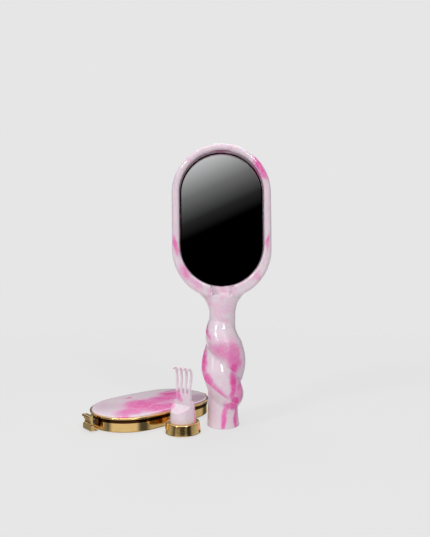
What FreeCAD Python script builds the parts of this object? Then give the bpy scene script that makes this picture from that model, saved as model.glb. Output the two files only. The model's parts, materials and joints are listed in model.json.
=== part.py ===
"""Hand mirror set in cast marbled resin: a mirror whose head is a deep oval tray, a slim oval case that
docks in the tray, and a four-fingered scratcher that stands on a metal foot and plugs into the handle.

Millimetres. +Z is up, the mirror stands on its handle's end with that face's centre at the origin, and
the glass faces -Y. The case lies flat behind the mirror's left side and the scratcher stands in front.
"""

import FreeCAD, Part
import math
import os

Vector = FreeCAD.Vector
Rotation = FreeCAD.Rotation
Placement = FreeCAD.Placement
UP = Vector(0, 0, 1)
OVERRUN = 1.0                    # how far a cutter or a joining lug runs past the face that it meets
TOUCH = 0.1                      # slack when looking for the edges of a known outline

# ---- mirror head: an upright stadium-shaped tray -------------------------------------------------
total_height = 240.0
head_radius = 42.0               # half the head's width, and the radius of its round ends
head_straight = 47.5             # distance between the centres of the two round ends
head_thickness = 20.0
rim_round = 3.6                  # rounding of the rim's outer front edge
back_round = 7.0                 # rounding of the head's outer back edge
rim_inner_round = 1.9            # rounding of the rim's inner front edge
rim_width = 6.2                  # from the tray's wall to the head's outside
tray_lift = 0.6                  # the tray's upper round is centred this much above the head's
chin_height = 3.5                # the tray's lower end stops this much further from the head's lower end
tray_depth = 13.5                # from the front of the rim to the face of the glass
glass_thickness = 2.0
glass_gap = 0.2                  # all round, between glass and tray wall
glass_bevel = 0.3
glass_bevel_drop = 0.2
pad_thickness = 0.6
pad_inset = 2.0                  # pad's edge inside the glass's edge

# ---- docking features in the tray's two ends -------------------------------------------------------
pocket_gap = 1.0                 # beside the case's hinge, when it is docked
pocket_depth = 3.4               # into the tray's upper wall
pocket_lip = 2.6                 # resin left between the pocket and the front of the rim
notch_top_width = 21.0           # at the front of the rim
notch_foot_width = 17.5
notch_depth = 7.4                # below the tray's lower wall
notch_floor_width = 15.6
notch_floor_gap = 0.4            # notch floor behind the face of the glass
notch_reach = 2.5                # how far the notch runs up into the tray
notch_side_draft = 0.6           # the notch's floor narrows this much on each side towards its foot
notch_foot_draft = 0.8           # and ends this much above its foot at the rim

# ---- neck and twisted handle -----------------------------------------------------------------------
neck_radius = 11.3
neck_step = 0.3                  # the neck's root below the head's back and front faces
neck_lap = 0.15                  # the core's top radius below the neck's
neck_overlap = 4.0               # how far the core runs up inside the neck
neck_excess = 0.015              # keeps an ellipse's long half longer than its short one
neck_below_flare = 8.0
neck_stations = 9
flare_radius = 23.0              # hollow curve from the neck out to the head
socket_wall = 2.34               # resin round the socket, at the core's narrowest
core_seam_turn = 17.0            # keeps the core's surface seam off the strands' seams
foot_spread = 1.6                # the handle's end over its core, in radius
foot_flare_height = 9.0
foot_flare = 0.4                 # the core's radius at that height, over its radius above
foot_flare_end = 19.8
foot_round = 0.8
core_taper = 10.0                # height over which the core narrows to the neck
twist_reference = 87.29          # the twist's heights are given for a neck that starts here
twist_pitch = 84.0
twist_level = 54.5               # height at which the first strand stands furthest right
strand_swell = 2.4               # a strand's radius over the core's
strand_offset = 4.7
strand_turn = 200.0              # degrees from the first strand to the second
strand_sink = 3.4                # how far a strand's ends are buried in the core
strand_a = (29.9, 94.9, 8.0, 22.1)     # low end, high end, and the lengths over which each end fades out
strand_b = (11.4, 92.4, 23.0, 45.0)    # the strand that crosses the front below the first
strand_stations = 21

# ---- scratcher: resin hand on a metal foot ---------------------------------------------------------
stem_radius = 10.4
stem_taper = 0.9                 # in radius, from the land to the stem's top
stem_land = 4.0                  # straight part of the stem that fits the handle's socket
stem_height = 17.0               # above the foot's top
facet_rise = 4.0                 # the two slanted facets beside the palm rise this much towards it
facet_top = 3.2                  # the facets' upper edges, below the stem's top
shoulder_drop = 4.0              # the cuts at the palm's two edges fall this much to the stem's side
socket_clearance = 0.06          # radial, between stem and socket
bore_slack = 4.05                # of the handle's bore, beyond the finger tips of the plugged-in hand
palm_inset = 2.7                 # the palm's two edges inside the stem's sides
palm_thickness = 5.2
palm_offset = 1.6                # behind the stem's middle, so that the hooks' tips stay within the stem
palm_top = 35.6
palm_root = 6.0                  # how far the palm runs down into the stem
palm_edge_share = 0.45           # rounding of the palm's sides over its thickness
palm_taper = 8.0                 # height over which the palm thins to the fingers
slit_depth = 3.4                 # of the slits between the fingers, down from the palm's top
finger_count = 4
finger_radius = 1.05
finger_top = 53.2
finger_root = 6.3                # how far the fingers run down into the palm
finger_spread = 1.2              # spacing at the tips over spacing at the palm
finger_stations = 12             # rings that the finger's surface passes through, below its rounded tip
tip_rings = 4                    # rings that round off the tip
tip_ring_turn = 28.0             # degrees from one to the next
hook_radius = 2.2
hook_length = 2.2
hook_dip = 0.3                   # the hook's end below its bend
hand_turn = -38.0                # degrees about Z, so that the hooks point left and forward
foot_step = 0.6                  # the foot's top edge inside the handle's end that it closes
foot_slope = 1.3                 # the foot's base over its top, in radius
foot_height = 8.8
foot_edge_round = 0.7
foot_seat_depth = 4.0            # how deep the stem sits in the foot
shrink_gap = 0.03                # radial, round glued stems, screws and rivets
foot_pad_radius = 11.5
foot_pad_thickness = 1.2
foot_pad_proud = 0.3
screw_radius = 1.5
screw_head_radius = 3.0
screw_head_height = 1.6
screw_length = 10.0
screw_slot_width = 0.7
screw_slot_depth = 0.7
scratcher_x = -33.4
scratcher_y = -19.0

# ---- oval case -------------------------------------------------------------------------------------
case_side_gap = 0.35             # between the case's lid rim and the tray wall, when docked
case_x = -65.0
case_y = 28.0
case_turn = 41.0                 # degrees about Z from +X to the case's hinged end
lid_overhang = 0.7
base_height = 9.6
base_wall = 1.3
base_floor = 1.2
base_round = 1.0
parting_lip_height = 0.8         # inner lip that the lid rests on, showing as a dark line
parting_lip_inset = 0.9
lid_gap = 0.05
bezel_height = 1.8
bezel_width = 1.5
bezel_round = 0.7
lid_plate = 0.8
inlay_gap = 0.1
inlay_proud = 2.4
inlay_crown_radius = 1000.0
inlay_edge_round = 1.0
liner_thickness = 1.0
liner_gap = 0.4
barrel_radius = 1.5
barrel_sink = 0.2                # how far the barrel's round sinks into the base's end wall
hinge_width = 14.0
lid_knuckle_width = 6.0
knuckle_gap = 0.15
pin_radius = 0.6
pin_clearance = 0.05
leaf_thickness = 1.2
web_drop = 4.0                   # height of the webs that carry the base's knuckles

# ---- spring latch at the case's other end ----------------------------------------------------------
latch_width = 14.0
latch_tab_width = 10.6
latch_rail_width = 12.4
latch_strip = 0.9
latch_gap = 4.1                  # between the fixed leg and the sprung tab
latch_shoulder = 5.4             # height at which the tab narrows
latch_overlap = 2.65             # the tab's top above the lid's underside
latch_rail_radius = 1.25
latch_rail_rise = 0.3            # the rail's top above the tab's
latch_groove_radius = 1.7
latch_groove_sink = 0.2          # the groove's axis inside the tab's outer face
latch_groove_level = 8.0
latch_face_depth = 2.8           # thickness of the tab's outer block
latch_joint_gap = 0.32           # where the bend is split between bracket and tab
latch_lift = 0.4                 # underside above the table
latch_sill_lift = 0.6            # the broad sill's underside above the bend's
latch_blade_root = 2.4           # how far the narrow face runs down behind the sill
rivet_radius = 0.6
rivet_head_radius = 1.1
rivet_head_height = 0.5
rivet_edge = 0.1                 # from the rivets' heads to the bend below and to the leg's top

# ---- snap catch on the lid -------------------------------------------------------------------------
catch_width = 6.0
catch_length = 2.4
catch_drop = 2.0
catch_thickness = 0.6
catch_gap = 0.2                  # between the tongue and the rivets' heads

# ---- derived sizes ---------------------------------------------------------------------------------
head_front = -head_thickness / 2
head_mid = total_height - head_radius - head_straight / 2
tray_radius = head_radius - rim_width
tray_straight = head_straight - chin_height
tray_mid = total_height - head_radius + tray_lift - tray_straight / 2
tray_floor = tray_depth + glass_thickness + pad_thickness
glass_face = head_front + tray_depth
tray_low = tray_mid - tray_straight / 2 - tray_radius
lid_radius = tray_radius - case_side_gap
base_radius = lid_radius - lid_overhang
base_end = tray_straight / 2 + base_radius
lid_level = base_height + parting_lip_height + lid_gap
lid_top = lid_level + bezel_height
hinge_axis_x = base_end + barrel_radius - barrel_sink
hinge_axis_z = lid_level
web_foot = hinge_axis_z - web_drop
latch_height = lid_level + latch_overlap
core_radius = stem_radius + socket_clearance + socket_wall
foot_radius = core_radius + foot_spread
strand_radius = core_radius + strand_swell
foot_top_radius = foot_radius - foot_step
foot_base_radius = foot_top_radius + foot_slope
palm_width = 2 * (stem_radius - palm_inset)
stem_top_radius = stem_radius - stem_taper
socket_length = finger_top - foot_height + bore_slack
leg_foot = latch_lift + latch_strip + latch_gap / 2
rivet_levels = (leg_foot + rivet_head_radius + rivet_edge, base_height - rivet_head_radius - rivet_edge)
flare_centre_x = neck_radius + flare_radius
flare_centre_z = (head_mid - head_straight / 2
                  - math.sqrt((head_radius + flare_radius) ** 2 - flare_centre_x ** 2))
flare_top_z = flare_centre_z + flare_radius * (
    (head_mid - head_straight / 2 - flare_centre_z) / (head_radius + flare_radius))
neck_start = flare_centre_z - neck_below_flare
twist_stretch = neck_start / twist_reference

# The head's and the tray's own frames: X up the head, Y across it, Z from the rim's front to the back.
UPRIGHT = Rotation(Vector(1, 1, 1), -120)
HEAD_PLACE = Placement(Vector(0, head_front, head_mid), UPRIGHT)
TRAY_PLACE = Placement(Vector(0, head_front, tray_mid), UPRIGHT)
CASE_PLACE = Placement(Vector(case_x, case_y, 0), Rotation(UP, case_turn))
SCRATCHER_PLACE = Placement(Vector(scratcher_x, scratcher_y, 0), Rotation(UP, hand_turn))


# ---- helpers ---------------------------------------------------------------------------------------
def stadium(radius, straight, height, z=0.0):
    """A stadium-shaped prism, long along X, standing on the plane z."""
    half = straight / 2
    right = Part.Arc(Vector(half, -radius, z), Vector(half + radius, 0, z), Vector(half, radius, z))
    left = Part.Arc(Vector(-half, radius, z), Vector(-half - radius, 0, z), Vector(-half, -radius, z))
    low = Part.LineSegment(Vector(-half, -radius, z), Vector(half, -radius, z))
    high = Part.LineSegment(Vector(half, radius, z), Vector(-half, radius, z))
    wire = Part.Wire([low.toShape(), right.toShape(), high.toShape(), left.toShape()])
    return Part.Face(wire).extrude(UP * height)


def edges_on_level(shape, z):
    """The edges that lie flat in the plane z."""
    found = []
    for edge in shape.Edges:
        box = edge.BoundBox
        if abs(box.ZMin - z) < 1e-3 and abs(box.ZMax - z) < 1e-3:
            found.append(edge)
    return found


def box(x0, x1, y0, y1, z0, z1):
    return Part.makeBox(x1 - x0, y1 - y0, z1 - z0, Vector(x0, y0, z0))


def rod(radius, length, start, direction):
    return Part.makeCylinder(radius, length, start, direction)


def smooth(t):
    """Eases from 0 to 1 as t goes from 0 to 1."""
    t = min(1.0, max(0.0, t))
    return t * t * (3 - 2 * t)


def polygon_wire(points):
    return Part.makePolygon(points + [points[0]])


def placed(shape, placement):
    """A copy of the shape moved by the placement."""
    moved = shape.copy()
    moved.Placement = placement.multiply(moved.Placement)
    return moved


# ---- mirror body -----------------------------------------------------------------------------------
def head_block():
    block = stadium(head_radius, head_straight, head_thickness)
    block = block.makeFillet(rim_round, edges_on_level(block, 0))
    return block.makeFillet(back_round, edges_on_level(block, head_thickness))


def neck_half_width(z):
    """Half the neck's width: straight up to the flare, then the flare's hollow arc."""
    if z <= flare_centre_z:
        return neck_radius
    rise = min(z, flare_top_z) - flare_centre_z
    return flare_centre_x - math.sqrt(flare_radius ** 2 - rise ** 2)


def neck():
    """Loft of ellipses from the round neck to the wide, thinner root of the head.

    It starts just inside the core, whose top it then covers, so that the two surfaces cross cleanly.
    """
    root_depth = head_thickness / 2 - neck_step
    wires = []
    for i in range(neck_stations + 1):
        z = neck_start + (flare_top_z - neck_start) * i / neck_stations
        rise = smooth((z - neck_start) / (flare_top_z - neck_start))
        wide = neck_half_width(z)
        deep = neck_radius + (root_depth - neck_radius) * rise
        if i == 0:
            wide = deep = neck_radius - 2 * neck_lap
        ellipse = Part.Ellipse(Vector(0, 0, z), max(wide, deep) + neck_excess, min(wide, deep))
        wires.append(Part.Wire([ellipse.toShape()]))
    return Part.makeLoft(wires, True, False)


def core_profile():
    """The handle's core without its strands, as half a silhouette for revolving."""
    top = neck_start + neck_overlap
    curve = Part.BSplineCurve()
    curve.interpolate([
        Vector(foot_radius, 0, 0),
        Vector(core_radius + foot_flare, 0, foot_flare_height),
        Vector(core_radius, 0, foot_flare_end),
        Vector(core_radius, 0, twist_level * twist_stretch),
        Vector(neck_radius + 2 * neck_lap, 0, neck_start - core_taper),
        Vector(neck_radius - neck_lap, 0, top),
    ])
    low, high = Vector(0, 0, 0), Vector(0, 0, top)
    edges = [
        Part.LineSegment(low, Vector(foot_radius, 0, 0)).toShape(),
        curve.toShape(),
        Part.LineSegment(curve.EndPoint, high).toShape(),
        Part.LineSegment(high, low).toShape(),
    ]
    return Part.Face(Part.Wire(edges))


def core():
    shape = core_profile().revolve(Vector(0, 0, 0), UP, 360)
    shape = shape.makeFillet(foot_round, edges_on_level(shape, 0))
    shape.rotate(Vector(0, 0, 0), UP, core_seam_turn)
    return shape


def strand(run, phase):
    """One strand of the twist: level circles whose centres wind down the core, buried at both ends."""
    low, high, fade_low, fade_high = (height * twist_stretch for height in run)
    buried = core_radius - strand_sink
    wires = []
    for i in range(strand_stations):
        z = low + (high - low) * i / (strand_stations - 1)
        from_low = min(1.0, (z - low) / fade_low)
        from_high = min(1.0, (high - z) / fade_high)
        swell = (1 - (1 - from_low) ** 2) * from_high
        radius = buried + (strand_radius - buried) * swell
        offset = strand_offset * swell
        turns = (twist_level - z / twist_stretch) / twist_pitch
        angle = math.radians(phase + 360 * turns)
        centre = Vector(offset * math.cos(angle), offset * math.sin(angle), z)
        wires.append(Part.Wire([Part.Circle(centre, UP, radius).toShape()]))
    return Part.makeLoft(wires, True, False)


def socket_cut():
    """The handle's bore, which holds the stem and hides the fingers, with a drilled point at its end."""
    radius = stem_radius + socket_clearance
    socket = rod(radius, socket_length + OVERRUN, UP * -OVERRUN, UP)
    return socket.fuse(Part.makeCone(radius, 0, radius / 2, UP * socket_length))


def hinge_pocket():
    """In the tray's frame: room in the upper wall for the docked case's hinge."""
    half = hinge_width / 2 + pocket_gap
    top = tray_straight / 2 + tray_radius
    return box(top - 4 * OVERRUN, top + pocket_depth, -half, half, pocket_lip, tray_depth)


def latch_notch():
    """A scooped notch below the tray, open to the front, for the case's latch and a finger tip."""
    front, floor = head_front - OVERRUN, glass_face + notch_floor_gap
    top, foot = tray_low + notch_reach, tray_low - notch_depth
    half = notch_floor_width / 2
    outer = polygon_wire([
        Vector(-notch_top_width / 2, front, top), Vector(notch_top_width / 2, front, top),
        Vector(notch_foot_width / 2, front, foot), Vector(-notch_foot_width / 2, front, foot)])
    inner = polygon_wire([
        Vector(-half, floor, top), Vector(half, floor, top),
        Vector(half - notch_side_draft, floor, foot + notch_foot_draft),
        Vector(-half + notch_side_draft, floor, foot + notch_foot_draft)])
    return Part.makeLoft([outer, inner], True, True)


def tray_rim(solid):
    """The edges between the tray's wall and the flat front of the rim."""
    found = []
    for edge in solid.Edges:
        box = edge.BoundBox
        on_front = abs(box.YMin - head_front) < 1e-3 and abs(box.YMax - head_front) < 1e-3
        inside = max(abs(box.XMin), abs(box.XMax)) < tray_radius + TOUCH
        if on_front and inside and box.ZMin > tray_low - TOUCH and edge.Length > tray_radius:
            found.append(edge)
    return found


def mirror_body():
    tray = stadium(tray_radius, tray_straight, tray_floor + OVERRUN, -OVERRUN)
    solid = neck()
    for piece in (core(), strand(strand_a, 0), strand(strand_b, strand_turn), placed(head_block(), HEAD_PLACE)):
        solid = solid.fuse(piece)
    solid = solid.cut(placed(tray, TRAY_PLACE))
    solid = solid.makeFillet(rim_inner_round, tray_rim(solid))
    solid = solid.cut([placed(hinge_pocket(), TRAY_PLACE), latch_notch(), socket_cut()])
    return solid


def mirror_glass():
    glass = stadium(tray_radius - glass_gap, tray_straight, glass_thickness, tray_depth)
    bevelled = stadium(tray_radius - glass_gap - glass_bevel, tray_straight, glass_bevel_drop, tray_depth)
    lower = stadium(tray_radius - glass_gap, tray_straight, glass_thickness - glass_bevel_drop,
                    tray_depth + glass_bevel_drop)
    slope = Part.makeLoft([edge_wire(bevelled, tray_depth), edge_wire(glass, tray_depth, glass_bevel_drop)],
                          True, True)
    return placed(slope.fuse(lower).removeSplitter(), TRAY_PLACE)


def edge_wire(shape, level, shift=0.0):
    """The outline of a prism's face at that level, moved along Z by shift."""
    wire = Part.Wire(Part.__sortEdges__(edges_on_level(shape, level)))
    wire.translate(UP * shift)
    return wire


def mirror_pad():
    radius = tray_radius - glass_gap - pad_inset
    pad = stadium(radius, tray_straight, pad_thickness, tray_depth + glass_thickness)
    return placed(pad, TRAY_PLACE)


# ---- scratcher -------------------------------------------------------------------------------------
def finger(index):
    """One finger: a slim round rod that leans outward a little and ends in a forward hook."""
    place = (index - (finger_count - 1) / 2) / (finger_count - 1)
    root_x = place * (palm_width - 2 * finger_radius)
    tip_x = root_x * finger_spread
    low = palm_top - finger_root
    shoulder = finger_top - finger_radius - hook_radius
    lean = (tip_x - root_x) / (shoulder - low)
    quarter = math.radians(45)
    curve = Part.BSplineCurve()
    curve.interpolate([
        Vector(root_x, 0, low),
        Vector(root_x + lean * (shoulder - low) / 2, 0, (low + shoulder) / 2),
        Vector(tip_x, 0, shoulder),
        Vector(tip_x, -hook_radius * (1 - math.cos(quarter)), shoulder + hook_radius * math.sin(quarter)),
        Vector(tip_x, -hook_radius, shoulder + hook_radius),
        Vector(tip_x, -hook_radius - hook_length, shoulder + hook_radius - hook_dip),
    ])
    reach = curve.length() - finger_radius
    rings = [(reach * i / finger_stations, finger_radius) for i in range(finger_stations)]
    for step in range(tip_rings):
        turn = math.radians(tip_ring_turn * step)
        rings.append((reach + finger_radius * math.sin(turn), finger_radius * math.cos(turn)))
    wires = []
    for distance, radius in rings:
        at = curve.parameterAtDistance(distance)
        ring = Part.Wire([Part.Circle(Vector(0, 0, 0), UP, radius).toShape()])
        ring.Placement = Placement(curve.value(at), Rotation(UP, curve.tangent(at)[0]))
        wires.append(ring)
    return Part.makeLoft(wires, True, False)


def palm():
    """A flat palm with rounded edges, widening slightly from the stem to the fingers."""
    base = foot_height + stem_height - palm_root
    blank = box(-palm_width / 2, palm_width / 2, -palm_thickness / 2, palm_thickness / 2, base, palm_top)
    upright = [e for e in blank.Edges if e.BoundBox.ZLength > 1]
    blank = blank.makeFillet(palm_thickness * palm_edge_share, upright)
    gap = (palm_width - 2 * finger_radius) / (finger_count - 1)
    slot = gap / 2 - finger_radius
    deep, foot = palm_thickness, palm_top - slit_depth
    for i in range(finger_count - 1):
        x = (i - (finger_count - 2) / 2) * gap
        valley = rod(slot, 2 * deep, Vector(x, -deep, foot), Vector(0, 1, 0))
        above = box(x - slot, x + slot, -deep, deep, foot, palm_top + OVERRUN)
        blank = blank.cut([valley, above])
    for side in (-1, 1):
        wedge = polygon_wire([
            Vector(-palm_width, side * palm_thickness / 2, palm_top - palm_taper),
            Vector(-palm_width, side * finger_radius, palm_top),
            Vector(-palm_width, side * palm_thickness, palm_top)])
        blank = blank.cut(Part.Face(wedge).extrude(Vector(2 * palm_width, 0, 0)))
    return blank


def stem():
    """A tapered round stem whose top is cut to a ridge as thick as the palm, with a drop at each end."""
    seat = foot_height - foot_seat_depth
    land_top = foot_height + stem_land
    top = foot_height + stem_height
    shape = Part.makeCylinder(stem_radius, land_top - seat, Vector(0, 0, seat))
    shape = shape.fuse(Part.makeCone(stem_radius, stem_top_radius, top - land_top, Vector(0, 0, land_top)))
    far = 2 * stem_radius
    high = top + OVERRUN
    for side in (-1, 1):
        y0 = palm_offset + side * palm_thickness / 2
        facet = top - facet_top
        low = facet - facet_rise * (far - abs(y0)) / (stem_top_radius - palm_thickness / 2)
        outline = [Vector(-far, y0, facet), Vector(-far, y0, high), Vector(-far, side * far, high),
                   Vector(-far, side * far, low)]
        shape = shape.cut(Part.Face(polygon_wire(outline)).extrude(Vector(2 * far, 0, 0)))
        x0 = side * palm_width / 2
        low = top - shoulder_drop * (far - abs(x0)) / (stem_top_radius - abs(x0))
        outline = [Vector(x0, -far, top), Vector(x0, -far, high), Vector(side * far, -far, high),
                   Vector(side * far, -far, low)]
        shape = shape.cut(Part.Face(polygon_wire(outline)).extrude(Vector(0, 2 * far, 0)))
    return shape


def scratcher_hand():
    """Stem, palm and fingers, cast in one piece, with a pilot hole for the foot's screw."""
    blade = [palm()] + [finger(i) for i in range(finger_count)]
    for piece in blade:
        piece.translate(Vector(0, palm_offset, 0))
    hand = stem().fuse(blade)
    screw_foot = foot_pad_thickness - foot_pad_proud + screw_head_height
    pilot = rod(screw_radius + shrink_gap, screw_length - screw_head_height, UP * screw_foot, UP)
    return placed(hand.cut(pilot).removeSplitter(), SCRATCHER_PLACE)


def foot_collar():
    """A flared metal cup: a shallow seat for the stem above, a recess for the pad below."""
    base = foot_pad_proud
    outer = Part.makeCone(foot_base_radius, foot_top_radius, foot_height - base, Vector(0, 0, base))
    rims = edges_on_level(outer, base) + edges_on_level(outer, foot_height)
    outer = outer.makeFillet(foot_edge_round, rims)
    seat = rod(stem_radius + shrink_gap, foot_seat_depth + OVERRUN, UP * (foot_height - foot_seat_depth), UP)
    recess = rod(foot_pad_radius + shrink_gap, foot_pad_thickness - base, UP * base, UP)
    head = rod(screw_head_radius + shrink_gap, screw_head_height, UP * (foot_pad_thickness - base), UP)
    shank = rod(screw_radius + shrink_gap, foot_height, UP * base, UP)
    return placed(outer.cut([seat, recess, head, shank]), SCRATCHER_PLACE)


def foot_pad():
    pad = Part.makeCylinder(foot_pad_radius, foot_pad_thickness - foot_pad_proud)
    return placed(pad, SCRATCHER_PLACE)


def foot_screw():
    low = foot_pad_thickness - foot_pad_proud
    head = rod(screw_head_radius, screw_head_height, UP * low, UP)
    shank = rod(screw_radius, screw_length, UP * low, UP)
    half = screw_slot_width / 2
    slot = box(-screw_head_radius, screw_head_radius, -half, half, low - OVERRUN, low + screw_slot_depth)
    return placed(head.fuse(shank).cut(slot).removeSplitter(), SCRATCHER_PLACE)


# ---- case ------------------------------------------------------------------------------------------
def along_pin(radius, y0, y1):
    """A rod on the hinge's axis, between two places along it."""
    return rod(radius, y1 - y0, Vector(hinge_axis_x, y0, hinge_axis_z), Vector(0, 1, 0))


def pin_hole():
    return along_pin(pin_radius + pin_clearance, -hinge_width, hinge_width)


def case_base():
    """The pan: floor, band and inner lip, with the two outer hinge knuckles."""
    pan = stadium(base_radius, tray_straight, base_height)
    pan = pan.makeFillet(base_round, edges_on_level(pan, 0))
    lip = stadium(base_radius - parting_lip_inset, tray_straight, parting_lip_height, base_height)
    hollow = stadium(base_radius - base_wall, tray_straight, base_height + 2 * OVERRUN, base_floor)
    pan = pan.fuse(lip).cut(hollow)
    inner, outer = lid_knuckle_width / 2 + knuckle_gap, hinge_width / 2
    room = along_pin(barrel_radius + 3 * knuckle_gap, -inner, inner)
    far = hinge_axis_x + barrel_radius
    for y0, y1 in ((-outer, -inner), (inner, outer)):
        web = box(base_end - base_wall, far, y0, y1, web_foot, hinge_axis_z)
        curve = rod(2 * barrel_radius, y1 - y0, Vector(far, y0, web_foot), Vector(0, 1, 0))
        pan = pan.fuse([web.cut(curve), along_pin(barrel_radius, y0, y1)])
    pan = pan.cut([pin_hole(), room] + [latch_rivet_hole(z) for z in rivet_levels])
    return placed(pan.removeSplitter(), CASE_PLACE)


def case_liner():
    liner = stadium(base_radius - base_wall - liner_gap, tray_straight, liner_thickness, base_floor)
    return placed(liner, CASE_PLACE)


def case_lid():
    """The lid's rim and plate, with a pocket for the inlay and the middle hinge knuckle."""
    lid = stadium(lid_radius, tray_straight, bezel_height, lid_level)
    lid = lid.makeFillet(bezel_round, edges_on_level(lid, lid_level) + edges_on_level(lid, lid_top))
    pocket = stadium(lid_radius - bezel_width, tray_straight, bezel_height, lid_level + lid_plate)
    lid = lid.cut(pocket)
    outer, half = hinge_width / 2, lid_knuckle_width / 2
    clearance = barrel_radius + 2 * knuckle_gap
    for y0, y1 in ((-outer - knuckle_gap, -half), (half, outer + knuckle_gap)):
        lid = lid.cut(along_pin(clearance, y0, y1))
    leaf_top = hinge_axis_z + leaf_thickness
    leaf = box(base_end - base_wall, hinge_axis_x, -half, half, hinge_axis_z, leaf_top)
    lid = lid.fuse([leaf.cut(pocket), along_pin(barrel_radius, -half, half)]).cut(pin_hole())
    return placed(lid.removeSplitter(), CASE_PLACE)


def case_inlay():
    """The marbled plate let into the lid, gently crowned, standing proud of its metal rim."""
    floor = lid_level + lid_plate
    height = lid_top - floor + inlay_proud
    plate = stadium(lid_radius - bezel_width - inlay_gap, tray_straight, height, floor)
    crown = Part.makeSphere(inlay_crown_radius, Vector(0, 0, floor + height - inlay_crown_radius))
    plate = plate.common(crown)
    upper = [edge for edge in plate.Edges if edge.BoundBox.ZMin > lid_top]
    plate = plate.makeFillet(inlay_edge_round, upper)
    return placed(plate, CASE_PLACE)


def hinge_pin():
    return placed(along_pin(pin_radius, -hinge_width / 2, hinge_width / 2), CASE_PLACE)


def lid_catch():
    """A small tongue under the lid, at the latch's end, that drops inside the pan and centres the lid."""
    x0 = base_wall - base_end + rivet_head_height + catch_gap
    x1 = x0 + catch_thickness
    half = catch_width / 2
    foot = box(x0, x1 + catch_length, -half, half, lid_level - catch_thickness, lid_level)
    tongue = box(x0, x1, -half, half, lid_level - catch_drop, lid_level)
    return placed(foot.fuse(tongue).removeSplitter(), CASE_PLACE)


# ---- latch -----------------------------------------------------------------------------------------
def latch_rivet(z):
    """A rivet through the fixed leg and the pan's end wall, with a round head on each side."""
    x_out = -base_end - latch_strip
    x_in = -base_end + base_wall
    shank = rod(rivet_radius, x_in - x_out, Vector(x_out, 0, z), Vector(1, 0, 0))
    height = rivet_head_height
    outer = rod(rivet_head_radius, height, Vector(x_out - height, 0, z), Vector(1, 0, 0))
    inner = rod(rivet_head_radius, height, Vector(x_in, 0, z), Vector(1, 0, 0))
    return shank.fuse([outer, inner]).removeSplitter()


def latch_rivet_hole(z):
    """Hole for a rivet's shank, with a small flat under the inner head."""
    x_in = -base_end + base_wall
    start = Vector(-base_end - base_wall, 0, z)
    hole = rod(rivet_radius + shrink_gap, 4 * base_wall, start, Vector(1, 0, 0))
    flat = rod(rivet_head_radius + shrink_gap, base_wall, Vector(x_in, 0, z), Vector(1, 0, 0))
    return hole.fuse(flat)


def bend_centre():
    """The U-bend's centre line in the case's frame, as (x, z)."""
    return -base_end - latch_strip - latch_gap / 2, leg_foot


def bend_tube():
    """The whole ring that the U-bend is the lower half of."""
    x, z = bend_centre()
    start = Vector(x, -latch_width / 2, z)
    inside = rod(latch_gap / 2, latch_width, start, Vector(0, 1, 0))
    return rod(latch_gap / 2 + latch_strip, latch_width, start, Vector(0, 1, 0)).cut(inside)


def latch_bracket():
    """The fixed leg and most of the U-bend below it, bent from one strip."""
    x, z = bend_centre()
    half = latch_width / 2
    reach = latch_gap / 2 + latch_strip
    bend = bend_tube().common(box(x - latch_gap / 4, x + reach, -half, half, z - reach, z))
    leg = box(-base_end - latch_strip, -base_end, -half, half, z, base_height)
    bracket = bend.fuse(leg)
    for level in rivet_levels:
        start = Vector(-base_end - 2 * latch_strip, 0, level)
        bracket = bracket.cut(rod(rivet_radius + shrink_gap, 4 * latch_strip, start, Vector(1, 0, 0)))
    return placed(bracket.removeSplitter(), CASE_PLACE)


def latch_rivets():
    return placed(Part.makeCompound([latch_rivet(z) for z in rivet_levels]), CASE_PLACE)


def latch_tab():
    """The sprung outer leg: a broad foot, a narrower face with a cross groove, and a thumb rail on top."""
    x, z = bend_centre()
    reach = latch_gap / 2 + latch_strip
    half, narrow = latch_width / 2, latch_tab_width / 2
    inner = x - latch_gap / 2
    outer = inner - latch_face_depth
    bend_end = x - latch_gap / 4 - latch_joint_gap
    bend = bend_tube().common(box(x - reach, bend_end, -half, half, z - reach, z))
    leg = box(inner - latch_strip, inner, -half, half, z, latch_shoulder)
    sill = box(outer, inner, -half, half, latch_lift + latch_sill_lift, latch_shoulder)
    bend_room = rod(latch_gap / 2, 2 * latch_width, Vector(x, -latch_width, z), Vector(0, 1, 0))
    blade = box(outer, inner, -narrow, narrow, latch_shoulder - latch_blade_root, latch_height)
    groove_start = Vector(outer + latch_groove_sink - latch_strip, -half, latch_groove_level)
    groove = rod(latch_groove_radius, latch_width, groove_start, Vector(0, 1, 0))
    rail_level = latch_height - latch_rail_radius + latch_rail_rise
    rail = rod(latch_rail_radius, latch_rail_width, Vector(outer, -latch_rail_width / 2, rail_level),
               Vector(0, 1, 0))
    tab = bend.fuse([leg, sill.cut(bend_room), blade.cut(groove), rail])
    return placed(tab.removeSplitter(), CASE_PLACE)


# ---- export ----------------------------------------------------------------------------------------
PARTS = {
    "mirror_body": mirror_body,
    "mirror_glass": mirror_glass,
    "mirror_pad": mirror_pad,
    "scratcher_hand": scratcher_hand,
    "foot_collar": foot_collar,
    "foot_pad": foot_pad,
    "foot_screw": foot_screw,
    "case_base": case_base,
    "case_liner": case_liner,
    "case_lid": case_lid,
    "case_inlay": case_inlay,
    "hinge_pin": hinge_pin,
    "lid_catch": lid_catch,
    "latch_bracket": latch_bracket,
    "latch_rivets": latch_rivets,
    "latch_tab": latch_tab,
}


def main():
    os.makedirs("parts", exist_ok=True)
    for name, make in PARTS.items():
        shape = make()
        solids = shape.Solids
        if not shape.isValid() or not solids:
            raise ValueError(f"{name} is not a valid solid")
        shape.exportStep(os.path.join("parts", name + ".step"))
        print(f"{name}: {len(solids)} solid(s), {shape.Volume / 1000:.2f} cm3")


if __name__ == "__main__":
    main()
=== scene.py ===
import json
import math

import bpy
from mathutils import Matrix, Vector


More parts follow.
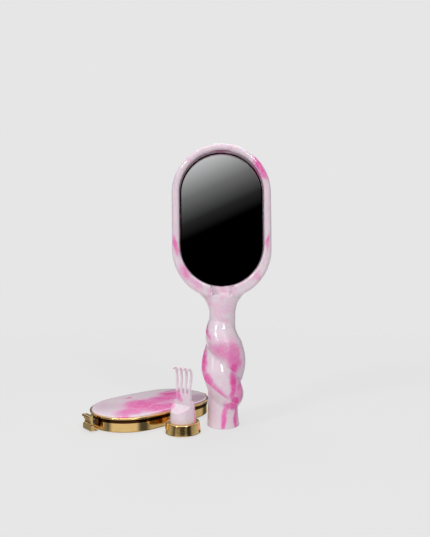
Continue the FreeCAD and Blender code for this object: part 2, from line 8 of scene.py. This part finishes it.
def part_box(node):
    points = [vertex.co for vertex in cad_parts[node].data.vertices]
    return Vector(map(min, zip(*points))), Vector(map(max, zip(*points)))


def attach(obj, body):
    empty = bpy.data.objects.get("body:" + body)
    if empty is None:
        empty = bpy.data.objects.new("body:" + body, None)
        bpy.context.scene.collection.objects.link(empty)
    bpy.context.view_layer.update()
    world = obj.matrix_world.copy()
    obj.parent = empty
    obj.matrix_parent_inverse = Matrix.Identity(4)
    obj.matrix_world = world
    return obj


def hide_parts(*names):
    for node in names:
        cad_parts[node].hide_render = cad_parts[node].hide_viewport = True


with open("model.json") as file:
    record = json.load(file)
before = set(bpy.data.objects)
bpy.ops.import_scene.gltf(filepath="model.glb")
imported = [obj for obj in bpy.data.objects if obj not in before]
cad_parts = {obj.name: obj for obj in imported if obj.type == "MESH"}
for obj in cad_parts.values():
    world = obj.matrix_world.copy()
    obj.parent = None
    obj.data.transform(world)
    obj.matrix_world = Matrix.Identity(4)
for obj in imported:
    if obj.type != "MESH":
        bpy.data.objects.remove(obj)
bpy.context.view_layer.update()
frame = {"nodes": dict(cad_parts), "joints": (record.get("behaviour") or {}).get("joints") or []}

MM = 0.001

# ---- where things are, from the frame ----------------------------------------------------------------
glass_low, glass_high = (Vector(corner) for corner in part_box("mirror_glass"))
case_low, case_high = (Vector(corner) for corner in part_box("case_base"))
foot_low, foot_high = (Vector(corner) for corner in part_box("foot_collar"))
case_middle = (case_low + case_high) / 2
foot_middle = (foot_low + foot_high) / 2
lid_hinge = next(joint for joint in frame["joints"] if joint["name"] == "lid_hinge")
case_across = Vector(lid_hinge["axis"])                 # along the hinge's pin
case_along = case_across.cross(Vector((0, 0, 1)))       # from the latch to the hinge

# ---- camera --------------------------------------------------------------------------------------------
CAMERA_DISTANCE = 450 * MM       # in front of the handle's axis
CAMERA_HEIGHT = 138 * MM
CAMERA_SIDE = -5.9 * MM
CAMERA_DOWN = 0.47               # degrees
CAMERA_ROLL = -0.45
CAMERA_LENS = 35.13              # in mm, on a sensor as wide as the next value
CAMERA_SENSOR = 36
CAMERA_NEAR = 0.01               # metres

# ---- painted shade: dark edges and lines where shadow falls ---------------------------------------------
GLASS_SHADE_BAND = 1.3                  # width of the shade painted along the glass's edge, in mm
SEAM_SHADE_HEIGHT = 1.2                # height of the shade painted under the case's lid, in mm
SEAM_SHADE_RISE = 1.2                  # how far that painted shade rises over the lid's lower edge, in mm
LEG_SHADE_SHARE = 0.42                 # the latch's fixed leg has shade painted on above this share of its height

# ---- meshes and surfaces, in mm unless said otherwise ---------------------------------------------------
WELD_REACH = 0.002
MIRROR_VOXEL = 0.65
HAND_VOXEL = 0.3
INLAY_VOXEL = 0.5
LATCH_BEVEL = 0.22
BEVEL_SEGMENTS = 2               # a count
BEVEL_ANGLE = 40                 # degrees: sharper edges than this are bevelled
FELT_GRAIN = 2.2                 # clumps of nap per mm
BLOT_FADE = (0.35, 1.3)          # shares of a blot's half sizes between which it fades out
CREASE_SOFTNESS = 0.5            # a patch ends within this of its crease

# ---- colours (linear) ----------------------------------------------------------------------------------
BACKDROP = 0.791                 # the plain pale grey behind the object
LILAC = (0.89, 0.71, 0.81)
PEARL = (0.95, 0.83, 0.89)
MAUVE = (0.58, 0.36, 0.50)
PINK = (0.96, 0.46, 0.72)
HOT_PINK = (0.98, 0.21, 0.56)
DEEP_PINK = (0.95, 0.11, 0.44)
GOLD = (0.90, 0.54, 0.16)
GOLD_PALE = (0.99, 0.74, 0.36)
# painted shade: the dark brown that stands in for shadow under the case's lid and on the latch's leg
PAINTED_SHADE_BROWN = (0.06, 0.022, 0.006)
POCKET_PINK = (0.42, 0.17, 0.27)
# painted shade: the dark along the glass's edge, standing in for the shadow in the gap around it
GLASS_EDGE_SHADE = (0.012, 0.008, 0.01)


# ---- shader helpers ------------------------------------------------------------------------------------
def fill_ramp(node, stops):
    """Gives a colour ramp its stops: each is a position and a colour."""
    elements = node.color_ramp.elements
    while len(elements) < len(stops):
        elements.new(0.5)
    for element, (position, colour) in zip(elements, stops):
        element.position = position
        element.color = (*colour, 1.0)


def greys(stops):
    """Stops of grey from positions and values."""
    return [(position, (value, value, value)) for position, value in stops]


class Shader:
    """A material with short calls for adding nodes and linking them."""

    def __init__(self, name):
        self.material = bpy.data.materials.new(name)
        self.material.use_nodes = True
        self.tree = self.material.node_tree
        self.tree.nodes.clear()

    def add(self, kind, values=None, **settings):
        """Adds a node. A value that is a socket is linked, and any other value is set."""
        node = self.tree.nodes.new("ShaderNode" + kind)
        for key, value in settings.items():
            setattr(node, key, value)
        for key, value in (values or {}).items():
            if isinstance(value, bpy.types.NodeSocket):
                self.tree.links.new(value, node.inputs[key])
            else:
                node.inputs[key].default_value = value
        return node

    def math(self, operation, a, b=0.0, clamp=False):
        return self.add("Math", {0: a, 1: b}, operation=operation, use_clamp=clamp).outputs[0]

    def vector(self, operation, a, b=(0, 0, 0), scale=1.0):
        node = self.add("VectorMath", {0: a, 1: b}, operation=operation)
        if operation == "SCALE":
            node.inputs["Scale"].default_value = scale
        return node.outputs["Value" if operation == "LENGTH" else "Vector"]

    def place(self, scale=1000.0):
        """The point's own place in the object, in millimetres unless scaled otherwise."""
        coordinates = self.add("TexCoord").outputs["Object"]
        return self.vector("SCALE", coordinates, scale=scale)

    def noise(self, at, scale, detail=3.0, roughness=0.5, distortion=0.0, shift=0.0):
        moved = self.vector("ADD", at, (shift, 2 * shift, -shift))
        return self.add("TexNoise", {"Vector": moved, "Scale": scale, "Detail": detail,
                                     "Roughness": roughness, "Distortion": distortion})

    def ramp(self, factor, stops):
        node = self.add("ValToRGB", {"Fac": factor})
        fill_ramp(node, stops)
        return node.outputs["Color"]

    def span(self, value, low, high, to_low=0.0, to_high=1.0, kind="SMOOTHSTEP"):
        return self.add("MapRange", {"Value": value, "From Min": low, "From Max": high,
                                     "To Min": to_low, "To Max": to_high},
                        interpolation_type=kind).outputs["Result"]

    def mix(self, factor, a, b):
        """Blends two colours. Sockets 6 and 7, and output 2, are the node's colour ones."""
        node = self.add("Mix", {"Factor": factor}, data_type="RGBA")
        for socket, value in ((node.inputs[6], a), (node.inputs[7], b)):
            if isinstance(value, bpy.types.NodeSocket):
                self.tree.links.new(value, socket)
            else:
                socket.default_value = (*value, 1.0)
        return node.outputs[2]

    def bump(self, height, strength, distance):
        values = {"Height": height, "Strength": strength, "Distance": distance}
        return self.add("Bump", values).outputs["Normal"]

    def finish(self, surface):
        output = self.add("OutputMaterial")
        self.tree.links.new(surface, output.inputs["Surface"])
        return self.material


def blot_mask(shader, at, blots):
    """Soft ellipsoids of colour: each is (x, y, z, half sizes, lean in degrees about Y, strength)."""
    total = None
    for x, y, z, sizes, lean, strength in blots:
        local = shader.add("Mapping", {"Vector": at, "Location": (x, y, z),
                                       "Rotation": (0, math.radians(lean), 0), "Scale": sizes},
                           vector_type="TEXTURE").outputs["Vector"]
        reach = shader.vector("LENGTH", local)
        mask = shader.span(reach, *BLOT_FADE, strength, 0.0)
        total = mask if total is None else shader.math("MAXIMUM", total, mask)
    return total


def above(shader, at, crease):
    """One above a slanting crease and nought below it.

    A crease is its fall per mm of x, and its height on the axis.
    """
    fall, height = crease
    parts = shader.add("SeparateXYZ", {0: at})
    level = shader.math("ADD", parts.outputs["Z"], shader.math("MULTIPLY", parts.outputs["X"], fall))
    return shader.span(level, height - CREASE_SOFTNESS, height + CREASE_SOFTNESS)


def twist_mask(shader, at, warped):
    """The mirror's blots, each lobe's kept to its own side of the twist's two front creases."""
    over = above(shader, at, UPPER_CREASE)
    under = shader.math("SUBTRACT", 1.0, above(shader, at, LOWER_CREASE))
    between = shader.math("SUBTRACT", shader.math("SUBTRACT", 1.0, over), under, clamp=True)
    total = None
    for blots, side in ((MIRROR_BLOTS, over), (LOBE_BLOTS, between), (FOOT_BLOTS, under)):
        mask = shader.math("MULTIPLY", blot_mask(shader, warped, blots), side)
        total = mask if total is None else shader.math("MAXIMUM", total, mask)
    return total


def resin(name, blots, shaded=None, shade=MAUVE, swirl=0.045, seed=0.0, warp=4.0, haze=0.6, origin=None):
    """Glossy cast resin: a pearly lilac ground, cloudy pink swirls, and the hot pink blots.

    Without blots it takes those of the mirror. The shaded list holds soft patches of the shade colour. With
    an origin, a place and a turn about Z, the blots are given from there, and not from the handle's axis.
    """
    shader = Shader(name)
    at = shader.place()
    if origin:
        place, turn = origin
        at = shader.add("Mapping", {"Vector": at, "Location": place, "Rotation": (0, 0, turn)},
                        vector_type="TEXTURE").outputs["Vector"]
    drift = shader.noise(at, 0.07, detail=3.0, shift=seed).outputs["Color"]
    centred = shader.vector("SUBTRACT", drift, (0.5, 0.5, 0.5))
    warped = shader.vector("ADD", at, shader.vector("SCALE", centred, scale=2 * warp))
    swirls = shader.noise(warped, swirl, detail=5.0, roughness=0.55, distortion=1.4, shift=seed + 31)
    cloud = swirls.outputs["Fac"]
    ground = shader.ramp(cloud, [(0.30, PEARL), (0.46, LILAC), (0.56, PEARL), (0.66, PINK), (0.78, LILAC)])
    ground = shader.mix(haze, ground, shader.mix(0.45, PEARL, LILAC))
    if shaded:
        ground = shader.mix(blot_mask(shader, warped, shaded), ground, shade)
    grains = shader.noise(warped, 0.2, detail=5.0, roughness=0.6, distortion=0.8, shift=seed + 7)
    grain = grains.outputs["Fac"]
    patches = blot_mask(shader, warped, blots) if blots else twist_mask(shader, at, warped)
    mask = shader.math("MULTIPLY", patches, shader.span(grain, 0.3, 0.6, 0.72, 1.0))
    hot = shader.ramp(mask, [(0.0, PINK), (0.35, PINK), (0.85, HOT_PINK), (1.0, DEEP_PINK)])
    colour = shader.mix(shader.span(mask, 0.0, 0.7), ground, hot)
    vein = shader.noise(warped, 0.10, detail=2.0, distortion=2.2, shift=seed + 53).outputs["Fac"]
    off_vein = shader.math("ABSOLUTE", shader.math("SUBTRACT", vein, 0.5))
    thin = shader.span(off_vein, 0.0, 0.02, 0.10, 0.0)
    colour = shader.mix(thin, colour, HOT_PINK)
    fine = shader.noise(at, 0.9, detail=3.0).outputs["Fac"]
    waves = shader.noise(at, 0.13, detail=1.0).outputs["Fac"]
    height = shader.math("ADD", waves, shader.math("MULTIPLY", fine, 0.06))
    surface = shader.add("BsdfPrincipled", {
        "Base Color": colour, "Roughness": shader.span(fine, 0.3, 0.75, 0.13, 0.2),
        "IOR": 1.5, "Subsurface Weight": 0.3,
        "Subsurface Radius": (1.0, 0.45, 0.7), "Subsurface Scale": 0.003,
        "Coat Weight": 0.5, "Coat Roughness": 0.04, "Coat IOR": 1.5,
        "Normal": shader.bump(height, 0.3, 0.00015),
    })
    return shader.finish(surface.outputs["BSDF"])


def polished_gold(name, painted_shade_band=None):
    """Polished gold plate: slightly uneven, with faint rubbing marks, and with shade painted dark over a
    band of heights.

    That band, over which shade is painted, is given in millimetres.
    """
    shader = Shader(name)
    at = shader.place()
    stretched = shader.vector("MULTIPLY", at, (0.5, 0.5, 4.0))
    rub = shader.noise(stretched, 1.1, detail=5.0, roughness=0.65).outputs["Fac"]
    smear = shader.noise(at, 0.12, detail=3.0, distortion=0.6).outputs["Fac"]
    colour = shader.mix(smear, GOLD, GOLD_PALE)
    # painted shade: heights within the band are darkened, standing in for shadow
    if painted_shade_band:
        level = shader.add("SeparateXYZ", {0: at}).outputs["Z"]
        low, high = painted_shade_band
        over_low = shader.span(level, low - 0.3, low + 0.1)
        under_high = shader.span(level, high - 0.1, high + 0.3, 1.0, 0.0)
        colour = shader.mix(shader.math("MULTIPLY", over_low, under_high), colour, PAINTED_SHADE_BROWN)
    waves = shader.noise(at, 0.25, detail=2.0).outputs["Fac"]
    height = shader.math("ADD", waves, shader.math("MULTIPLY", rub, 0.06))
    surface = shader.add("BsdfPrincipled", {
        "Base Color": colour, "Metallic": 1.0, "Roughness": shader.span(rub, 0.3, 0.7, 0.08, 0.15),
        "Normal": shader.bump(height, 0.3, 0.00008),
    })
    return shader.finish(surface.outputs["BSDF"])


def steel(name):
    """Dull turned steel, with fine rings across its height."""
    shader = Shader(name)
    at = shader.place()
    turned = shader.noise(shader.vector("MULTIPLY", at, (1, 1, 6)), 2.0, detail=4.0).outputs["Fac"]
    surface = shader.add("BsdfPrincipled", {
        "Base Color": shader.mix(turned, (0.42, 0.40, 0.37), (0.62, 0.60, 0.56)), "Metallic": 1.0,
        "Roughness": shader.span(turned, 0.3, 0.7, 0.22, 0.36),
        "Normal": shader.bump(turned, 0.2, 0.00004),
    })
    return shader.finish(surface.outputs["BSDF"])


def mirror_silver(name):
    """Silvered glass: a clean mirror with the faintest haze of dust, and shade painted dark along its edge.
    """
    shader = Shader(name)
    at = shader.place()
    haze = shader.noise(at, 0.05, detail=5.0, roughness=0.7).outputs["Fac"]
    # painted shade: a dark band along the glass's outline, standing in for the shadow in the gap around it
    parts = shader.add("SeparateXYZ", {0: at})
    radius = (glass_high.x - glass_low.x) / 2 / MM
    middle = (glass_high.z + glass_low.z) / 2 / MM
    half = (glass_high.z - glass_low.z) / 2 / MM - radius
    from_middle = shader.math("ABSOLUTE", shader.math("SUBTRACT", parts.outputs["Z"], middle))
    beyond = shader.math("MAXIMUM", shader.math("SUBTRACT", from_middle, half), 0.0)
    flat = shader.add("CombineXYZ", {"X": parts.outputs["X"], "Y": beyond}).outputs["Vector"]
    outward = shader.vector("LENGTH", flat)
    edge = shader.span(outward, radius - GLASS_SHADE_BAND, radius - 0.7 * GLASS_SHADE_BAND)
    silver = shader.mix(haze, (0.86, 0.87, 0.88), (0.90, 0.90, 0.91))
    surface = shader.add("BsdfPrincipled", {
        "Base Color": shader.mix(edge, silver, GLASS_EDGE_SHADE), "Metallic": 1.0,
        "Roughness": shader.span(haze, 0.35, 0.8, 0.004, 0.02),
    })
    return shader.finish(surface.outputs["BSDF"])


def felt(name, dark, light):
    """Short-napped felt: clumped fibres over a fine speckle, with a soft sheen."""
    shader = Shader(name)
    at = shader.place()
    clumps = shader.noise(at, FELT_GRAIN, detail=6.0, roughness=0.75).outputs["Fac"]
    fibres = shader.add("TexVoronoi", {"Vector": at, "Scale": 3 * FELT_GRAIN}).outputs["Distance"]
    mixed = shader.math("ADD", shader.math("MULTIPLY", clumps, 0.7), shader.math("MULTIPLY", fibres, 0.4))
    surface = shader.add("BsdfPrincipled", {
        "Base Color": shader.mix(shader.span(mixed, 0.3, 0.8), dark, light), "Roughness": 0.95,
        "Sheen Weight": 0.5, "Sheen Roughness": 0.5, "Sheen Tint": (*light, 1.0),
        "Normal": shader.bump(mixed, 0.8, 0.00025),
    })
    return shader.finish(surface.outputs["BSDF"])


# ---- mesh helpers --------------------------------------------------------------------------------------
def dress(node, material):
    """Gives a CAD node one material."""
    piece = frame["nodes"][node]
    piece.data.materials.clear()
    piece.data.materials.append(material)


def add_weld(piece):
    """Joins the split edges of a CAD mesh."""
    weld = piece.modifiers.new("weld", "WELD")
    weld.merge_threshold = WELD_REACH * MM


def welded_copy(node, name):
    """A new object with the node's mesh, its split edges joined."""
    source = frame["nodes"][node]
    piece = bpy.data.objects.new(name, source.data.copy())
    bpy.context.scene.collection.objects.link(piece)
    add_weld(piece)
    return piece


def applied(piece):
    """Applies every modifier of the piece and shades it smooth."""
    graph = bpy.context.evaluated_depsgraph_get()
    mesh = bpy.data.meshes.new_from_object(piece.evaluated_get(graph), depsgraph=graph)
    piece.modifiers.clear()
    piece.data = mesh
    mesh.shade_smooth()


def cast_copy(node, name, voxel, rounds, material, body):
    """A soft-edged casting of a CAD node: remeshed evenly (voxel in mm), then relaxed a little."""
    piece = welded_copy(node, name)
    remesh = piece.modifiers.new("remesh", "REMESH")
    remesh.mode = "VOXEL"
    remesh.voxel_size = voxel * MM
    relax = piece.modifiers.new("relax", "SMOOTH")
    relax.factor = 0.5
    relax.iterations = rounds
    applied(piece)
    piece.data.materials.clear()
    piece.data.materials.append(material)
    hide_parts(node)
    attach(piece, body)


def soften(node):
    """Breaks a metal node's sharp edges with a small bevel, so that they catch the light."""
    piece = frame["nodes"][node]
    add_weld(piece)
    bevel = piece.modifiers.new("edges", "BEVEL")
    bevel.width = LATCH_BEVEL * MM
    bevel.segments = BEVEL_SEGMENTS
    bevel.limit_method = "ANGLE"
    bevel.angle_limit = math.radians(BEVEL_ANGLE)
    shade = piece.modifiers.new("shading", "WEIGHTED_NORMAL")
    shade.keep_sharp = True


# ---- patches of colour ---------------------------------------------------------------------------------
# Each blot is (x, y, z, half sizes, lean about Y, strength): millimetres, degrees, and 0 to 1.
# On the mirror, x is to the right of the handle's axis, y back from it, and z up from the handle's end.
DEEP = 25                        # half size along Y of a blot that colours the front right through

# The head, the neck and the upper lobe, which are above the upper crease. The last six are on the back.
MIRROR_BLOTS = [
    (33, -8, 219, (4, DEEP, 13), -30, 1.0),
    (31, -2, 216, (5, 12, 13), -30, 0.6),
    (-38.5, -8, 154, (2.5, DEEP, 11), -14, 0.8),
    (-31, -8, 130, (5, DEEP, 9), -35, 0.6),
    (-22, -8, 122, (9, DEEP, 4), 40, 0.45),
    (-28.5, -1, 131, (3, 6, 10), -35, 0.9),
    (39, -6, 157, (2, DEEP, 8), 4, 0.7),
    (29, -8, 127, (5, DEEP, 4), 30, 0.5),
    (-10, -8, 114, (2, DEEP, 5), 0, 0.35),
    (9, -8, 115, (1.5, DEEP, 5), 0, 0.35),
    (-10, -8, 105, (2, DEEP, 5), 10, 0.3),
    (6, -8, 102, (4, DEEP, 8), 0, 0.25),
    (-13, -8, 85, (2.5, DEEP, 9), -10, 0.9),
    (-11, -10, 78, (2.5, DEEP, 7), -30, 0.6),
    (2, -12, 66, (16, DEEP, 11), 20, 0.66),
    (9, -12, 60, (8, DEEP, 19), -8, 0.78),
    (-6, -12, 66, (9, DEEP, 5), 30, 0.6),
    (9.5, -12, 51, (4, DEEP, 8), -6, 1.0),
    (-15.5, -8, 64, (3, DEEP, 8), 2, 0.9),
    (14, 14, 60, (8, 9, 14), 10, 0.6),
    (-8, 18, 50, (10, 8, 12), -20, 0.8),
    (6, 15, 84, (8, 6, 8), 20, 0.6),
    (-20, 16, 205, (18, 9, 12), 35, 0.8),
    (12, 16, 160, (12, 9, 24), -30, 0.7),
    (-16, 16, 134, (12, 9, 14), 20, 0.6),
]
UPPER_CREASE = (0.906, 55.8)     # of the twist's front: fall in mm per mm of x, and height on the axis
LOWER_CREASE = (0.777, 28.7)

# The lobe between the two creases. The last two are on the back.
LOBE_BLOTS = [
    (-16.5, -8, 56, (4.5, DEEP, 17), 2, 0.95),
    (-13.5, -10, 41, (5, DEEP, 11), -26, 0.9),
    (-3, -12, 33, (13, DEEP, 4.5), 39, 0.75),
    (8.6, -12, 36, (4, DEEP, 16), 4, 1.0),
    (13.5, -10, 32, (4, DEEP, 14), 0, 0.72),
    (9.2, -12, 23, (5, DEEP, 7), 10, 1.0),
    (14, 14, 50, (8, 9, 14), 10, 0.6),
    (-8, 18, 50, (10, 8, 12), -20, 0.8),
]

# The handle's foot, below the lower crease. The last one is on the back.
FOOT_BLOTS = [
    (8.6, -12, 20, (5, DEEP, 5), 20, 1.0),
    (0.6, -12, 9, (3.4, DEEP, 17), 5, 0.9),
    (3.5, -12, 19, (3, DEEP, 5), 30, 0.8),
    (11, -9, 10, (2.2, DEEP, 17), -2, 1.0),
    (-6, 14, 14, (7, 9, 14), 10, 0.7),
]

# Mauve in the hinge pocket, and fainter over the tray's upper wall.
TRAY_SHADE = [
    (0, 1, 235.5, (10.5, 6, 3.5), 0, 0.95),
    (0, 1, 232, (36, 6, 14), 0, 0.35),
]

# On the inlay, from the case's middle: along it to the hinge, across it, and up from the floor.
INLAY_BLOTS = [
    (-32, -17, 14, (19, 13, 9), 0, 0.85),
    (-14, -8, 14, (22, 20, 9), 0, 1.0),
    (-8, -24, 14, (24, 13, 9), 0, 1.0),
    (10, -4, 14, (20, 14, 9), 0, 0.95),
    (26, 6, 14, (16, 12, 9), 0, 1.0),
    (-46, -25, 14, (12, 7, 9), 0, 0.75),
    (-13, 21, 14, (7, 2.6, 9), 0, 0.85),
    (34, 18, 14, (12, 3, 9), 0, 0.85),
    (46, 4, 14, (6, 8, 9), 0, 0.4),
]
INLAY_MAUVE = [
    (38, -24, 14, (22, 18, 9), 0, 0.8),
    (-40, 8, 14, (14, 16, 9), 0, 0.35),
]

# On the scratcher's hand: x and y from the middle of its foot, z up from the floor.
HAND_BLOTS = [
    (-4.5, 0, 30, (3.5, 9, 5), -28, 0.75),
    (-9, 0, 21, (3, 9, 4), 35, 0.6),
    (-2, 0, 27, (3, 9, 2.5), 20, 0.6),
    (9.6, 0, 14, (1.2, 9, 10), 0, 0.75),
]


def make_mirror():
    """The cast body, the glass and its felt."""
    marble = resin("marbled_resin", None, TRAY_SHADE, POCKET_PINK)
    cast_copy("mirror_body", "mirror_casting", MIRROR_VOXEL, 1, marble, "mirror")
    dress("mirror_glass", mirror_silver("silvered_glass"))
    dress("mirror_pad", felt("backing_felt", (0.05, 0.04, 0.045), (0.12, 0.10, 0.11)))


def make_scratcher():
    """The cast hand on its gold foot."""
    middle = foot_middle / MM
    blots = [(middle.x + x, middle.y + y, z, sizes, lean, strength)
             for x, y, z, sizes, lean, strength in HAND_BLOTS]
    marble = resin("marbled_resin_hand", blots, seed=11.0, warp=1.5, haze=0.7)
    cast_copy("scratcher_hand", "scratcher_casting", HAND_VOXEL, 1, marble, "scratcher")
    dress("foot_collar", polished_gold("polished_gold_foot"))
    dress("foot_pad", felt("foot_felt", (0.03, 0.025, 0.03), (0.09, 0.08, 0.085)))
    dress("foot_screw", steel("screw_steel"))


def make_case():
    """The gold case with its inlay, its latch and what is inside."""
    # painted shade: a dark line under the lid's lower edge, standing in for the shadow in the gap there
    lid_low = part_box("case_lid")[0][2] / MM
    gold = polished_gold("polished_gold_case_painted_shade", painted_shade_band=(lid_low - SEAM_SHADE_HEIGHT, lid_low + SEAM_SHADE_RISE))
    for node in ("case_base", "case_lid", "lid_catch"):
        dress(node, gold)
    dress("latch_tab", polished_gold("polished_gold_latch"))
    # painted shade: the latch's fixed leg is dark above its lower bend, standing in for shadow
    leg_low, leg_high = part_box("latch_bracket")
    leg_shade_foot = (leg_low[2] + LEG_SHADE_SHARE * (leg_high[2] - leg_low[2])) / MM
    beyond_top = leg_high[2] / MM + 1
    dress("latch_bracket", polished_gold("polished_gold_bracket_shaded", painted_shade_band=(leg_shade_foot, beyond_top)))
    for node in ("latch_bracket", "latch_tab"):
        soften(node)
    bright = steel("pin_steel")
    for node in ("hinge_pin", "latch_rivets"):
        dress(node, bright)
    dress("case_liner", felt("case_velvet", (0.10, 0.015, 0.05), (0.32, 0.07, 0.18)))
    turn = math.atan2(case_along.y, case_along.x)
    origin = ((case_middle.x / MM, case_middle.y / MM, 0), turn)
    marble = resin("marbled_inlay", INLAY_BLOTS, INLAY_MAUVE, swirl=0.06, seed=23.0, warp=5.0,
                   origin=origin)
    cast_copy("case_inlay", "inlay_casting", INLAY_VOXEL, 3, marble, "case_lid")


# ---- surroundings --------------------------------------------------------------------------------------
FLOOR_RADIUS = 2.5               # metres, as are all sizes of the surroundings
FLOOR_DROP = 0.0002
FLOOR_GREY = 0.80
FLOOR_GLOW_SHARE = 0.75          # of the floor's brightness that lamps and shadows don't change
FLOOR_FADE = (0.25, 0.8)         # distances between which the floor gives way to the backdrop


def make_floor():
    """A pale floor that fades into the backdrop, takes only a soft shadow, and isn't seen in the metal."""
    bpy.ops.mesh.primitive_circle_add(vertices=96, radius=FLOOR_RADIUS, fill_type="NGON",
                                      location=(0, 0, -FLOOR_DROP))
    floor = bpy.context.object
    floor.name = "floor"
    shader = Shader("pale_floor")
    at = shader.place(1.0)
    matt = shader.add("BsdfDiffuse", {"Color": (FLOOR_GREY, FLOOR_GREY, FLOOR_GREY, 1.0)}).outputs["BSDF"]
    plain = (BACKDROP, BACKDROP, BACKDROP, 1.0)
    glow = shader.add("Emission", {"Color": plain, "Strength": 1.0}).outputs["Emission"]
    lit = shader.add("MixShader", {0: FLOOR_GLOW_SHARE, 1: matt, 2: glow}).outputs["Shader"]
    away = shader.span(shader.vector("LENGTH", at), *FLOOR_FADE)
    clear = shader.add("BsdfTransparent").outputs["BSDF"]
    surface = shader.add("MixShader", {0: away, 1: lit, 2: clear}).outputs["Shader"]
    floor.data.materials.append(shader.finish(surface))
    floor.visible_glossy = False


CARD_MIDDLE = (-0.02, -1.2, 0.27)
CARD_HALF = 0.31
CARD_SLANT = -0.45               # how fast the gradient falls to the right, against its rise upwards
CARD_SPAN = (-0.06, 0.30)        # where along that slant the gradient starts and ends
CARD_TONES = [(0.11, 0.0), (0.25, 0.02), (0.35, 0.075), (0.47, 0.16), (0.575, 0.30), (0.76, 0.60),
              (0.9, 0.70)]


def make_card():
    """A dark card in front of the object: the mirror shows it, light at its upper left and black below."""
    corners = [(-CARD_HALF, 0, -CARD_HALF), (CARD_HALF, 0, -CARD_HALF),
               (CARD_HALF, 0, CARD_HALF), (-CARD_HALF, 0, CARD_HALF)]
    mesh = bpy.data.meshes.new("card")
    mesh.from_pydata(corners, [], [(0, 1, 2, 3)])
    card = bpy.data.objects.new("card", mesh)
    card.location = CARD_MIDDLE
    bpy.context.scene.collection.objects.link(card)
    shader = Shader("card_gradient")
    at = shader.place(1.0)
    parts = shader.add("SeparateXYZ", {0: at})
    slope = shader.math("ADD", parts.outputs["Z"], shader.math("MULTIPLY", parts.outputs["X"], CARD_SLANT))
    level = shader.span(slope, *CARD_SPAN, kind="LINEAR")
    tone = shader.ramp(level, greys(CARD_TONES))
    glow = shader.add("Emission", {"Color": tone, "Strength": 1.0}).outputs["Emission"]
    card.data.materials.append(shader.finish(glow))
    card.visible_camera = False
    card.visible_diffuse = False
    card.visible_shadow = False


LAMP_AIM = (0, 0, 0.12)
LAMPS = [                        # name, place, width, height, power in watts
    ("left_pane", (-0.72, -0.68, 0.85), 0.20, 0.24, 3.3),
    ("right_pane", (0.42, -0.85, 0.85), 0.19, 0.22, 2.5),
    ("top", (0.0, 0.1, 1.2), 1.0, 1.0, 3.0),
    ("back", (0.3, 0.9, 0.6), 0.7, 0.7, 1.2),
]


def make_lights():
    """Two panes that the resin mirrors as highlights, and two wide soft lamps."""
    for name, place, width, height, power in LAMPS:
        light = bpy.data.lights.new(name, "AREA")
        light.shape = "RECTANGLE"
        light.size = width
        light.size_y = height
        light.energy = power
        lamp = bpy.data.objects.new(name, light)
        lamp.location = place
        lamp.rotation_euler = (Vector(LAMP_AIM) - Vector(place)).to_track_quat("-Z", "Y").to_euler()
        bpy.context.scene.collection.objects.link(lamp)


STUDIO_STRENGTH = 0.86
STUDIO_BANDS = [(0.0, 0.6), (0.30, 0.5), (0.38, 1.0), (0.46, 0.9), (0.50, 0.08), (0.62, 0.12), (0.72, 0.75),
                (1.0, 1.0)]      # brightness from straight down to straight up
STUDIO_SIDES = [(0.0, 0.6), (0.10, 0.15), (0.17, 1.0), (0.70, 1.0), (0.78, 0.12), (0.89, 0.10), (0.95, 0.7),
                (1.0, 0.6)]      # and how it varies from left to right


def studio_ramp(tree, direction, stops):
    """A colour from one component of the direction, which runs from -1 to 1."""
    spread = tree.nodes.new("ShaderNodeMapRange")
    spread.inputs["From Min"].default_value = -1.0
    ramp = tree.nodes.new("ShaderNodeValToRGB")
    fill_ramp(ramp, greys(stops))
    tree.links.new(direction, spread.inputs["Value"])
    tree.links.new(spread.outputs["Result"], ramp.inputs["Fac"])
    return ramp.outputs["Color"]


def make_world():
    """Plain backdrop for the camera; for reflections and light, a pale studio with dark bands and strips."""
    world = bpy.data.worlds.new("studio")
    bpy.context.scene.world = world
    world.use_nodes = True
    tree = world.node_tree
    tree.nodes.clear()
    coordinates = tree.nodes.new("ShaderNodeTexCoord")
    parts = tree.nodes.new("ShaderNodeSeparateXYZ")
    tree.links.new(coordinates.outputs["Generated"], parts.inputs[0])
    both = tree.nodes.new("ShaderNodeVectorMath")
    both.operation = "MULTIPLY"
    tree.links.new(studio_ramp(tree, parts.outputs["Z"], STUDIO_BANDS), both.inputs[0])
    tree.links.new(studio_ramp(tree, parts.outputs["X"], STUDIO_SIDES), both.inputs[1])
    around = tree.nodes.new("ShaderNodeBackground")
    around.inputs["Strength"].default_value = STUDIO_STRENGTH
    tree.links.new(both.outputs["Vector"], around.inputs["Color"])
    plain = tree.nodes.new("ShaderNodeBackground")
    plain.inputs["Color"].default_value = (BACKDROP, BACKDROP, BACKDROP, 1.0)
    path = tree.nodes.new("ShaderNodeLightPath")
    choose = tree.nodes.new("ShaderNodeMixShader")
    tree.links.new(path.outputs["Is Camera Ray"], choose.inputs[0])
    tree.links.new(around.outputs[0], choose.inputs[1])
    tree.links.new(plain.outputs[0], choose.inputs[2])
    output = tree.nodes.new("ShaderNodeOutputWorld")
    tree.links.new(choose.outputs[0], output.inputs["Surface"])


def make_camera():
    """The photo's camera: level with the mirror's middle, looking down a little."""
    camera = bpy.data.objects.new("camera", bpy.data.cameras.new("camera"))
    camera.data.lens = CAMERA_LENS
    camera.data.sensor_width = CAMERA_SENSOR
    camera.data.clip_start = CAMERA_NEAR
    tilt = Matrix.Rotation(math.radians(90 - CAMERA_DOWN), 4, "X")
    roll = Matrix.Rotation(math.radians(CAMERA_ROLL), 4, "Z")
    place = Matrix.Translation((CAMERA_SIDE, -CAMERA_DISTANCE, CAMERA_HEIGHT))
    camera.matrix_world = place @ tilt @ roll
    bpy.context.scene.collection.objects.link(camera)
    bpy.context.scene.camera = camera


bpy.context.scene.view_settings.view_transform = "Standard"
make_camera()
make_mirror()
make_scratcher()
make_case()
make_floor()
make_card()
make_lights()
make_world()
